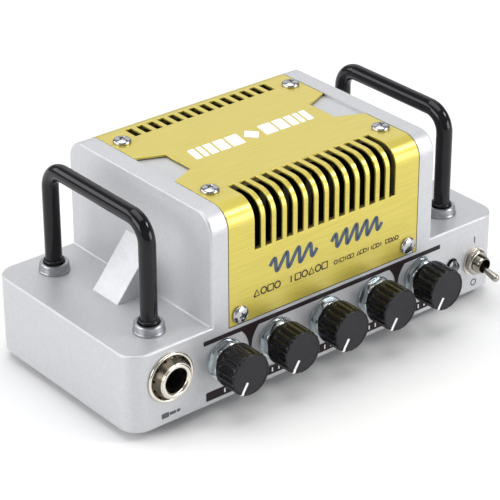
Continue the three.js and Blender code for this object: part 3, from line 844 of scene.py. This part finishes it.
def handle(side):
    node = f"handle_{side}"
    low, high = span(node)
    rod = (high.x - low.x) / 2
    x = (low.x + high.x) / 2
    line = arch((high.y - low.y) / 2 - rod, low.z, high.z - rod, HANDLE_BEND, 14)
    section = arc(0, 0, rod, 0, 360, 40)[:-1]
    rings = []
    for (y, z), out in zip(line, across(line)):
        rings.append([(x + a, y + b * out.x, z + b * out.y) for a, b in section])
    piece(lofted(rings), f"handle_rod_{side}", HOUSING, ENAMEL, [node])


def collar(side, end):
    node = f"collar_{side}_{end}"
    low, high = span(node)
    centre = middle(node)
    radius = (high.x - low.x) / 2
    height = high.z - BASE_TOP
    bore = 2.65
    where = place(FACING_TOP, centre.x, centre.y, BASE_TOP)
    form = hoop([
        (bore, 0.05),
        (radius, 0.05, 0.15),
        (radius, 0.5, 0.1),
        (radius - 0.15, 0.6, 0.1),
        (radius - 0.3, height, 0.5),
        (bore + 0.35, height, 0.15),
        (bore, height - 0.35, 0.1),
    ], 64)
    piece(form, f"collar_ring_{side}_{end}", where, COLLAR, [node])
    seal = hoop([
        (2.3, height - 0.8),
        (2.62, height - 0.8),
        (2.75, height + 0.1, 0.1),
        (2.95, height + 0.35, 0.2),
        (2.7, height + 0.8, 0.25),
        (2.3, height + 0.9),
    ], 48)
    piece(seal, f"leg_seal_{side}_{end}", where, ENAMEL)


# ---- underside ----

def underside():
    low, high = span("base_plate")
    rings = []
    for z, inset in edge_steps(low.z, high.z, 0.2, 0.2, 2):
        corner = BASE_CORNER - (HALF_WIDTH - high.x) - inset
        outline = rounded_rectangle(high.x - inset, (high.y - low.y) / 2 - inset, corner)
        rings.append(level(outline, z))
    piece(lofted(rings), "bottom_plate", HOUSING, STEEL, ["base_plate"])
    for end in ENDS:
        for side in SIDES:
            foot(f"foot_{end}_{side}", low.z)
    for x in (-41, 0, 41):
        for y in (-23.5, 23.5):
            plate_screw(x, y, low.z)


def foot(node, top):
    low, high = span(node)
    centre = middle(node)
    radius = (high.x - low.x) / 2
    height = top - low.z
    profile = softened([
        (0, 0.02),
        (radius - 0.15, 0.02, 0.1),
        (radius, height - 0.7, 0.3),
        (radius - 0.6, height, 0.4),
        (radius * 0.45, height, 0.2),
        (radius * 0.4, height - 0.5, 0.2),
        (0, height - 0.5),
    ], 3)
    where = place(FACING_UNDER, centre.x, centre.y, top)
    piece(turned(profile, 56), f"rubber_{node}", where, RUBBER, [node])


def plate_screw(x, y, seat):
    where = place(FACING_UNDER, x, y + CENTRE_Y, seat)
    name = f"plate_screw_{round(x) + 60}_{round(y) + 30}"
    dome = softened([(0, -0.6), (1.2, -0.6), (1.5, 0.0, 0.1), (1.3, 0.35, 0.2), (0, 0.5)], 3)
    recessed_head(turned(dome, 32), [cross(0.8, 0.2, -0.2), cross(1.7, 0.36, 0.7)], name, where)


# ---- controls ----

KNOBS = [body[5:] for body in frame["bodies"] if body.startswith("knob_")]
KNOBS.sort(key=lambda name: middle(f"knob_{name}").x)
REAR_JACKS = ("speaker_out", "fx_return", "fx_send")
SMALL_SOCKETS = ("aux_in_jack", "phones_out_jack", "dc_inlet")


def fluted_ring(radius, depth, height):
    """A circle with evenly spaced rounded grooves."""
    points = []
    per_flute = 12
    for i in range(FLUTES * per_flute):
        turn = 2 * math.pi * i / (FLUTES * per_flute)
        wave = 0.5 + 0.5 * math.cos(FLUTES * turn)
        groove = max(0.0, (wave - 0.45) / 0.55) ** 0.8
        r = radius - depth * groove
        points.append((r * math.cos(turn), r * math.sin(turn), height))
    return points


def knob_form(radius, back, front):
    rim = radius - 0.1
    face_edge = rim - 0.78
    stages = [
        (3.9, 0, back + 0.7),
        (3.9, 0, back),
        (radius - 0.3, 0, back),
        (radius - 0.05, 0, back + 0.2),
        (radius, 0, back + 0.9),
        (radius, FLUTE_DEPTH * 0.6, back + 1.2),
        (radius, FLUTE_DEPTH, back + 1.7),
        (rim, FLUTE_DEPTH, front - 0.9),
        (rim - 0.03, FLUTE_DEPTH * 0.75, front - 0.55),
        (rim - 0.12, FLUTE_DEPTH * 0.4, front - 0.22),
        (rim - 0.3, FLUTE_DEPTH * 0.1, front - 0.04),
        (rim - 0.45, 0, front),
        (face_edge + 0.08, 0, front - 0.02),
        (face_edge, 0, front - 0.12),
    ]
    form = lofted([fluted_ring(*stage) for stage in stages])
    return second_finish(form, lambda r, z: z > front - 0.2 and r < face_edge + 0.05)


def pointer_form(radius, front):
    """White bar across the knob's face, folded over its rim."""
    rim = radius - 0.1
    side_view = [
        (POINTER_START, front - 0.3),
        (POINTER_START, front - 0.07),
        (rim - 0.9, front - 0.07),
        (rim - 0.7, front + 0.04),
        (rim - 0.45, front + 0.04),
        (rim - 0.2, front - 0.06),
        (rim + 0.02, front - 0.3),
        (rim + 0.04, front - 0.6),
        (rim - 0.5, front - 0.6),
    ]
    return along_x([(-r, z) for r, z in side_view], POINTER_WIDTH / 2)


def control(name):
    body = f"knob_{name}"
    low, high = span(body)
    radius = (high.x - low.x) / 2
    front = FRONT_Y - low.y
    where = on_front(middle(body).x, middle(f"pot_nut_{name}").z)
    cap = knob_form(radius, FRONT_Y - high.y, front)
    piece(cap, f"knob_cap_{name}", where, [KNOB_SIDE, KNOB_FACE], [body], body)
    pointer = pointer_form(radius, front)
    swing = spun(-POINTER_ANGLE)
    piece(pointer, f"knob_pointer_{name}", where @ swing, WHITE_INK, (), body, bevel=0.04)
    nut_low, nut_high = span(f"pot_nut_{name}")
    washer = ring(3.6, (nut_high.x - nut_low.x) / 2, 0.05, WASHER, 0.15, 64)
    piece(washer, f"washer_{name}", where, ZINC)
    tilt = spun(17 * (KNOBS.index(name) + 1))
    nut = hex_nut(10, WASHER, FRONT_Y - nut_low.y, 3.5)
    piece(nut, f"hex_nut_{name}", where @ tilt, ZINC, [f"pot_nut_{name}"])


# ---- sockets ----

def jack_nut(name, where, node):
    """Ring nut with a thin flange, a hollowed flare with spanner notches, and a lip; the flare's hollow is
    painted shade in dark nickel and the notches' walls painted shade in black.
    """
    inner = 4.7
    flange = hoop([
        (inner, 0.05),
        (7.05, 0.05, 0.1),
        (7.05, 0.5, 0.15),
        (6.75, 0.85, 0.2),
        (6.2, 0.75, 0.2),
        (6.0, 0.5, 0.15),
        (5.75, 0.55, 0.3),
        (5.2, 1.6, 0.6),
        (4.95, 2.72, 0.1),
        (inner, 2.72),
    ], 96, 5)
    # The hollow between the rim and the lip gets the dark nickel: painted shade and painted reflection.
    form = second_finish(flange, lambda r, z: 4.96 < r < 6.22 and 0.3 < z < 2.5)
    nut = to_object(form, name, where, [NICKEL, NICKEL_PAINTED_SHADE, PLASTIC])
    # The notch cutters carry black plastic, so the notches' metal walls are painted shade.
    notches = []
    for i in range(SPANNER_PITS):
        notch = block((5.55, 6.2), (-0.38, 0.38), (0.2, 3))
        spin = Matrix.Rotation(2 * math.pi * i / SPANNER_PITS + 0.35, 4, "Z")
        notches.append(to_object(bevelled(notch, 0.1), "notch", where @ spin, PLASTIC))
    combined(nut, "DIFFERENCE", notches)
    dressed(nut, "housing", [node])


def jack_barrel(name, where):
    """Barrel with a rolled lip round a dark bore, and the tip contact inside."""
    bore = 3.3
    outer = 4.6
    barrel = hoop([
        (bore, -12),
        (outer, -12),
        (outer, 2.5, 0.1),
        (outer + 0.1, 2.75, 0.2),
        (outer - 0.1, 3.05, 0.3),
        (bore + 0.45, 3.0, 0.3),
        (bore, 2.3, 0.5),
        (bore, 1.2),
    ], 72, 5)
    form = second_finish(barrel, lambda r, z: r < bore + 0.05 and z < 1.1)
    piece(form, f"{name}_barrel", where, [NICKEL, PLASTIC])
    leaf = bevelled(block((-0.9, 0.9), (-bore + 0.05, -bore + 0.35), (-11, -3)), 0.05)
    piece(leaf, f"{name}_contact", where, NICKEL)


def jack_case(name):
    """The moulded body behind the panel."""
    low, high = span(f"{name}_body")
    behind = WALL + CASE_GAP
    depth = (low.y, REAR_Y - behind) if name in REAR_JACKS else (FRONT_Y + behind, high.y)
    form = bevelled(block((low.x, high.x), depth, (low.z, high.z)), 0.4)
    piece(form, f"{name}_case", Matrix.Identity(4), PLASTIC, [f"{name}_body"])


def quarter_inch_socket(name):
    centre = middle(f"{name}_nut")
    where = (on_rear if name in REAR_JACKS else on_front)(centre.x, centre.z)
    jack_nut(f"{name}_ring_nut", where, f"{name}_nut")
    jack_barrel(name, where)
    jack_case(name)


def small_socket(node):
    low, high = span(node)
    half = (high.x - low.x) / 2
    where = on_rear(middle(node).x, barrel_height(node))
    power = node == "dc_inlet"
    outer = 4.5 if power else 3.0
    bore = 3.2 if power else 1.85
    lip = [(outer, 0.5, 0.2), (bore + 0.3, 0.5, 0.2), (bore, 0.2, 0.2)]
    rim = hoop([(bore, -8), (outer, -8), *lip], 56)
    piece(rim, f"{node}_rim", where, PLASTIC)
    back = bevelled(block((-half, half), (low.z - where.translation.z, half), (-10, -2.6)), 0.3)
    piece(back, f"{node}_case", where, PLASTIC, [node])
    if power:
        pin = turned(softened([(0, -8), (1.0, -8), (1.0, -1.4, 0.4), (0, -1.2)], 4), 32)
        piece(pin, "dc_pin", where, NICKEL)
    else:
        thin = bore - 0.25
        sleeve = hoop([(thin, -7), (bore, -7), (bore, 0.35, 0.1), (thin, 0.3, 0.1)], 48, 2)
        piece(sleeve, f"{node}_sleeve", where, NICKEL)


# ---- lamp and switch ----

def lamp():
    centre = middle("power_led")
    where = on_front(centre.x, centre.z)
    r = 1.55
    dome = arc(0, 1.0, r, 0, 90, 10)
    profile = [(0, -4.5), (r + 0.35, -4.5), (r + 0.35, -2.7), (r, -2.7), *dome[:-1], (0, 1.0 + r)]
    piece(turned(profile, 48), "lamp_lens", where, LENS, ["power_led"])
    cup = hoop([(0.25, -1.2), (0.6, -1.2), (1.42, 0.6, 0.05), (1.3, 0.65, 0.05), (0.3, -1.0)], 40, 2)
    piece(cup, "lamp_cup", where, SCREW)
    bulb = turned(softened([(0, -1.1), (0.7, -1.0, 0.2), (0.6, 0.3, 0.3), (0, 0.5)], 4), 32)
    piece(bulb, "lamp_core", where, WHITE_INK)
    bezel = ring(r + 0.08, r + 0.5, 0.02, 0.16, 0.05, 48)
    piece(bezel, "lamp_bezel", where, PLASTIC)


def toggle_bushing(where):
    """Bushing with its thread drawn as rings, and a keyway along its top."""
    outer, bore, front = 2.5, 2.05, 4.4
    pitch = 0.5
    thread = []
    z = 0.0
    while z < front - 0.6:
        thread += [(outer - 0.16, z), (outer, z + pitch / 2)]
        z += pitch
    mouth = [(outer - 0.1, front - 0.3), (outer - 0.3, front), (bore, front)]
    profile = [(bore, -9), (outer, -9), *thread, *mouth]
    # The bushing takes the darker switch nickel: painted shade.
    bushing = to_object(turned(profile, 60, closed=True), "toggle_bushing", where, SWITCH_NICKEL_PAINTED_SHADE)
    keyway = bevelled(block((-0.45, 0.45), (outer - 0.35, outer + 1), (0.2, front + 1)), 0.1)
    # The keyway's walls take the dark nickel: painted shade in the slot.
    combined(bushing, "DIFFERENCE", [to_object(keyway, "keyway", where, NICKEL_PAINTED_SHADE)])
    dressed(bushing, "housing")
    plug = turned([(0, -2.5), (bore + 0.1, -2.5), (bore + 0.1, -1.9), (0, -1.9)], 40)
    piece(plug, "toggle_well", where, PLASTIC)


def toggle():
    centre = middle("toggle_nut")
    where = on_front(centre.x, centre.z)
    toggle_bushing(where)
    piece(ring(2.6, 4.1, 0.05, 0.5, 0.1, 56), "toggle_washer", where, NICKEL)
    nut = hex_nut(7, 0.5, 2.2, 2.55)
    # The switch's nut takes the darker switch nickel: painted shade.
    piece(nut, "toggle_hex_nut", where @ spun(12), SWITCH_NICKEL_PAINTED_SHADE, ["toggle_nut"])
    low, high = span("toggle_body")
    depth = (FRONT_Y + WALL + CASE_GAP, high.y)
    case = bevelled(block((low.x, high.x), depth, (low.z, high.z)), 0.3)
    piece(case, "toggle_case", Matrix.Identity(4), PLASTIC, ["toggle_body"])
    throw = next(j["range_deg"][1] for j in frame["joints"] if j["name"] == "power_switch")
    lever = softened([
        (0, -1.7), (1.2, -1.2, 0.5), (1.7, 0, 1.0), (1.2, 1.2, 0.6), (0.75, 1.8, 0.4),
        (0.85, 5.5, 1.0), (1.15, 8.6, 1.0), (1.05, 9.55, 0.5), (0.55, 9.88, 0.25), (0, 9.9),
    ], 4)
    down = Matrix.Rotation(math.radians(throw / 2), 4, "X")
    stick = turned(lever, 40)
    # The lever takes the darker switch nickel too: painted shade.
    piece(stick, "toggle_stick", where @ down, SWITCH_NICKEL_PAINTED_SHADE, ["toggle_lever"], "power_lever")


# ---- printing ----

def bar(x0, x1, y0, y1, corner=0.2):
    """A printed rectangle with rounded corners."""
    corners = [(x, y, corner) for x, y in ((x0, y0), (x1, y0), (x1, y1), (x0, y1))]
    return prism(softened(corners, 2, True), 0, INK)


def hourglass(left, right, centre_z, radius, low, high):
    """Dark field between two knobs' round windows."""
    climb = math.degrees(math.asin((high - centre_z) / radius))
    drop = math.degrees(math.asin(max(-1, (low - centre_z) / radius)))
    left_side = arc(left, centre_z, radius, climb, drop, 20)
    right_side = arc(right, centre_z, radius, 180 - drop, 180 - climb, 20)
    return prism(left_side + right_side, 0, INK)


def front_print():
    """Bands above and below the knobs, dark fields between the outer pairs, and marks to count by."""
    where = on_front(0, 0)
    knob_z = middle("pot_nut_middle").z
    xs = [middle(f"knob_{n}").x for n in KNOBS]
    piece(bar(-41.0, 41.8, 20.62, 21.95), "band_top", where, DARK_INK)
    piece(bar(-40.4, 41.0, 3.9, 6.5), "band_bottom", where, DARK_INK)
    for a, b, label in ((0, 1, "left"), (3, 4, "right")):
        form = hourglass(xs[a], xs[b], knob_z, 8.15, 6.6, 20.8)
        piece(form, f"field_{label}", where, DARK_INK)
    for i, x in enumerate(xs):
        ticks = [bar(x + k * 1.1 - 0.2, x + k * 1.1 + 0.2, 4.6, 5.8, 0.05) for k in range(-i, i + 1, 2)]
        form = moved(joined(ticks), Matrix.Translation((0, 0, INK)))
        piece(form, f"marks_{i + 1}", where, WHITE_INK)


def input_icon():
    """A plug's outline: tip, sleeve and grip, lying along the label line."""
    where = on_front(middle("input_jack_nut").x, 5.2)
    grip = bar(-3.0, -0.6, -0.75, 0.75, 0.3)
    sleeve = bar(-0.4, 1.6, -0.42, 0.42, 0.1)
    tip = bar(1.8, 3.0, -0.42, 0.42, 0.35)
    piece(joined([grip, sleeve, tip]), "input_icon", where, GREY_INK)


def switch_icons():
    x = middle("toggle_nut").x
    piece(bar(-0.2, 0.2, -1.0, 1.0, 0.1), "icon_on", on_front(x, 18.9), GREY_INK)
    circle = hoop([(0.75, 0), (1.1, 0), (1.1, INK), (0.75, INK)], 40)
    piece(circle, "icon_off", on_front(x + 0.3, 5.3), GREY_INK)


def slanted(x0, x1, half):
    """A printed bar that leans to the right."""
    lean = 0.6
    low = [(x0 - lean, -half, 0.3), (x1 - lean, -half, 0.3)]
    high = [(x1 + lean, half, 0.3), (x0 + lean, half, 0.3)]
    return prism(softened(low + high, 2, True), 0, INK)


def top_emblem():
    """A lozenge between slanted bars that narrow towards the ends."""
    half = 2.95
    lozenge = [(-2.6, 0, 0.2), (0, -half, 0.3), (2.6, 0, 0.2), (0, half, 0.3)]
    shapes = [prism(softened(lozenge, 2, True), 0, INK)]
    for side in (-1, 1):
        x = 3.6
        for width in (4.9, 4.1, 3.2, 2.3):
            x0, x1 = sorted((side * x, side * (x + width - 0.7)))
            shapes.append(slanted(x0, x1, half))
            x += width
        x0, x1 = sorted((side * x, side * 20.2))
        shapes.append(slanted(x0, x1, half))
    where = place(FACING_TOP, 0.2, CENTRE_Y + 0.5, COVER_TOP)
    piece(joined(shapes), "top_emblem", where, WHITE_INK)


def burst(x0, x1, waves, height):
    """A slanted wave line that swells in its middle."""
    points = []
    steps = 30 * waves
    for i in range(steps + 1):
        t = i / steps
        rise = height * (0.7 + 0.3 * math.sin(math.pi * t)) * math.sin(2 * math.pi * waves * t)
        points.append((x0 + (x1 - x0) * t + 0.3 * rise, rise))
    return ribbon(points, 1.15)


def mark(kind, x, size, stroke):
    """One small sign of a row: o is a ring, s a square, t a triangle and i a bar."""
    half = size / 2
    if kind == "o":
        corners = arc(0, 0, half, 0, 360, 20)
    elif kind == "s":
        corners = [(-half, -half), (half, -half), (half, half), (-half, half), (-half, -half)]
    elif kind == "t":
        corners = [(-half, -half), (half, -half), (0, half), (-half, -half)]
    else:
        corners = [(0, -half), (0, half)]
    return moved(ribbon(corners, stroke), Matrix.Translation((x, half, 0)))


def sign_row(kinds, x0, x1, size, stroke):
    """Evenly spaced signs between two X; x leaves a gap."""
    pitch = (x1 - x0) / len(kinds)
    places = [(kind, x0 + (i + 0.5) * pitch) for i, kind in enumerate(kinds)]
    return [mark(kind, x, size, stroke) for kind, x in places if kind != "x"]


def wave_emblem():
    """Two bursts of sound, and under them a row of small signs."""
    where = on_front(0, 36.3, SHEET_PROUD)
    form = joined([burst(-19.2, -3.2, 4, 2.3), burst(1.8, 19.6, 5, 2.3)])
    piece(form, "wave_emblem", where, SLATE_INK)
    marks = sign_row("tosoxisotos", -24.7, 0.7, 1.85, 0.42)
    marks += sign_row("oisiosxtsoiisoixsoto", 2.8, 25.8, 1.1, 0.3)
    piece(joined(marks), "sign_row", on_front(0, 29.2, SHEET_PROUD), BROWN_INK)


def arrow(x, y, out):
    """A triangle that points up for out and down for in."""
    tip = 0.9 if out else -0.9
    return prism([(x - 0.8, y - tip), (x + 0.8, y - tip), (x, y + tip)], 0, INK)


def rear_print():
    marks = []
    for name in (*REAR_JACKS, "aux_in", "phones_out"):
        node = f"{name}_nut" if name in REAR_JACKS else f"{name}_jack"
        marks.append(arrow(-middle(node).x, 4.9, name.endswith(("out", "send"))))
    x = -middle("dc_inlet").x
    marks.append(bar(x - 1.6, x + 1.6, 5.3, 5.6, 0.05))
    marks += [bar(x + k - 0.4, x + k + 0.4, 4.5, 4.8, 0.05) for k in (-1.2, 0, 1.2)]
    piece(joined(marks), "rear_marks", on_rear(0, 0), GREY_INK)


# ---- carried-over CAD nodes ----

def refinish():
    looks = {"pot_body": SINK, "pot_shaft": STEEL, "main_board": BOARD, "heatsink": SINK,
             "power_ic": PLASTIC, "filter_capacitor": PLASTIC}
    for node, obj in frame["nodes"].items():
        for prefix, look in looks.items():
            if node.startswith(prefix):
                obj.data.materials.clear()
                obj.data.materials.append(look)


# ---- studio ----

# Each light's place and size in metres, and its power in watts; all point at the object's middle.
LIGHTS = {
    "right_front": ((0.62, -0.52, 0.74), (0.3, 0.22), 3.2),
    "left_back": ((-0.70, 0.84, 0.58), (0.9, 0.5), 4.1),
    "left": ((-1.2, 0.15, 0.45), (0.8, 0.6), 7.0),
    "front": ((0.6, -1.12, 0.3), (0.8, 0.5), 6.6),
    "top": ((0.0, 0.15, 1.3), (1.2, 1.2), 11.0),
    "right_back": ((0.85, 1.0, 0.75), (1.4, 0.9), 2.8),
}
AIM = Vector((0, 0, 0.03))
ROOM = 0.3
FLOOR_HALF = 4000


def aimed(name, data, spot, ahead):
    """A light or a camera that stands at a spot in metres and looks ahead."""
    obj = bpy.data.objects.new(name, data)
    obj.location = spot
    obj.rotation_euler = ahead.to_track_quat("-Z", "Y").to_euler()
    bpy.context.scene.collection.objects.link(obj)
    return obj


def area_light(name, spot, size, power):
    data = bpy.data.lights.new(name, "AREA")
    data.shape = "RECTANGLE"
    data.size, data.size_y = size
    data.energy = power
    aimed(name, data, spot, AIM - Vector(spot))


def studio():
    form = bmesh.new()
    corners = arc(0, 0, FLOOR_HALF * math.sqrt(2), 225, 495, 3)
    form.faces.new([form.verts.new((x, y, 0)) for x, y in corners])
    floor = to_object(form, "floor", Matrix.Identity(4), pale_floor())
    for name, (spot, size, power) in LIGHTS.items():
        area_light(name, spot, size, power)
    room()
    bpy.context.scene.view_settings.view_transform = "Standard"


def room():
    """A dim room, so that bright metal has dark parts to reflect, and a pale backdrop beyond the floor."""
    world = bpy.data.worlds.new("studio")
    world.use_nodes = True
    nodes = world.node_tree.nodes
    links = world.node_tree.links
    walls = nodes["Background"]
    walls.inputs["Color"].default_value = (0.97, 0.98, 1.0, 1)
    walls.inputs["Strength"].default_value = ROOM
    backdrop = nodes.new("ShaderNodeBackground")
    backdrop.inputs["Color"].default_value = (0.95, 0.95, 0.955, 1)
    seen = nodes.new("ShaderNodeLightPath")
    mix = nodes.new("ShaderNodeMixShader")
    links.new(seen.outputs["Is Camera Ray"], mix.inputs["Fac"])
    links.new(walls.outputs["Background"], mix.inputs[1])
    links.new(backdrop.outputs["Background"], mix.inputs[2])
    links.new(mix.outputs["Shader"], nodes["World Output"].inputs["Surface"])
    bpy.context.scene.world = world


def camera():
    data = bpy.data.cameras.new("camera")
    data.lens = 157.35
    data.sensor_width = 36
    data.shift_x = -0.0204
    data.shift_y = -0.0362
    data.clip_start = 0.01
    ahead = Vector((0.5656726, 0.6814471, -0.4643752))
    bpy.context.scene.camera = aimed("camera", data, (-0.334687, -0.402533, 0.303706), ahead)


camera()
studio()
casting()
vent_cover()
gap_shadow_bead()
cover_screws()
for side in SIDES:
    handle(side)
    for end in ENDS:
        collar(side, end)
underside()
for name in KNOBS:
    control(name)
for name in ("input_jack", *REAR_JACKS):
    quarter_inch_socket(name)
for node in SMALL_SOCKETS:
    small_socket(node)
lamp()
toggle()
front_print()
input_icon()
switch_icons()
top_emblem()
wave_emblem()
rear_print()
refinish()
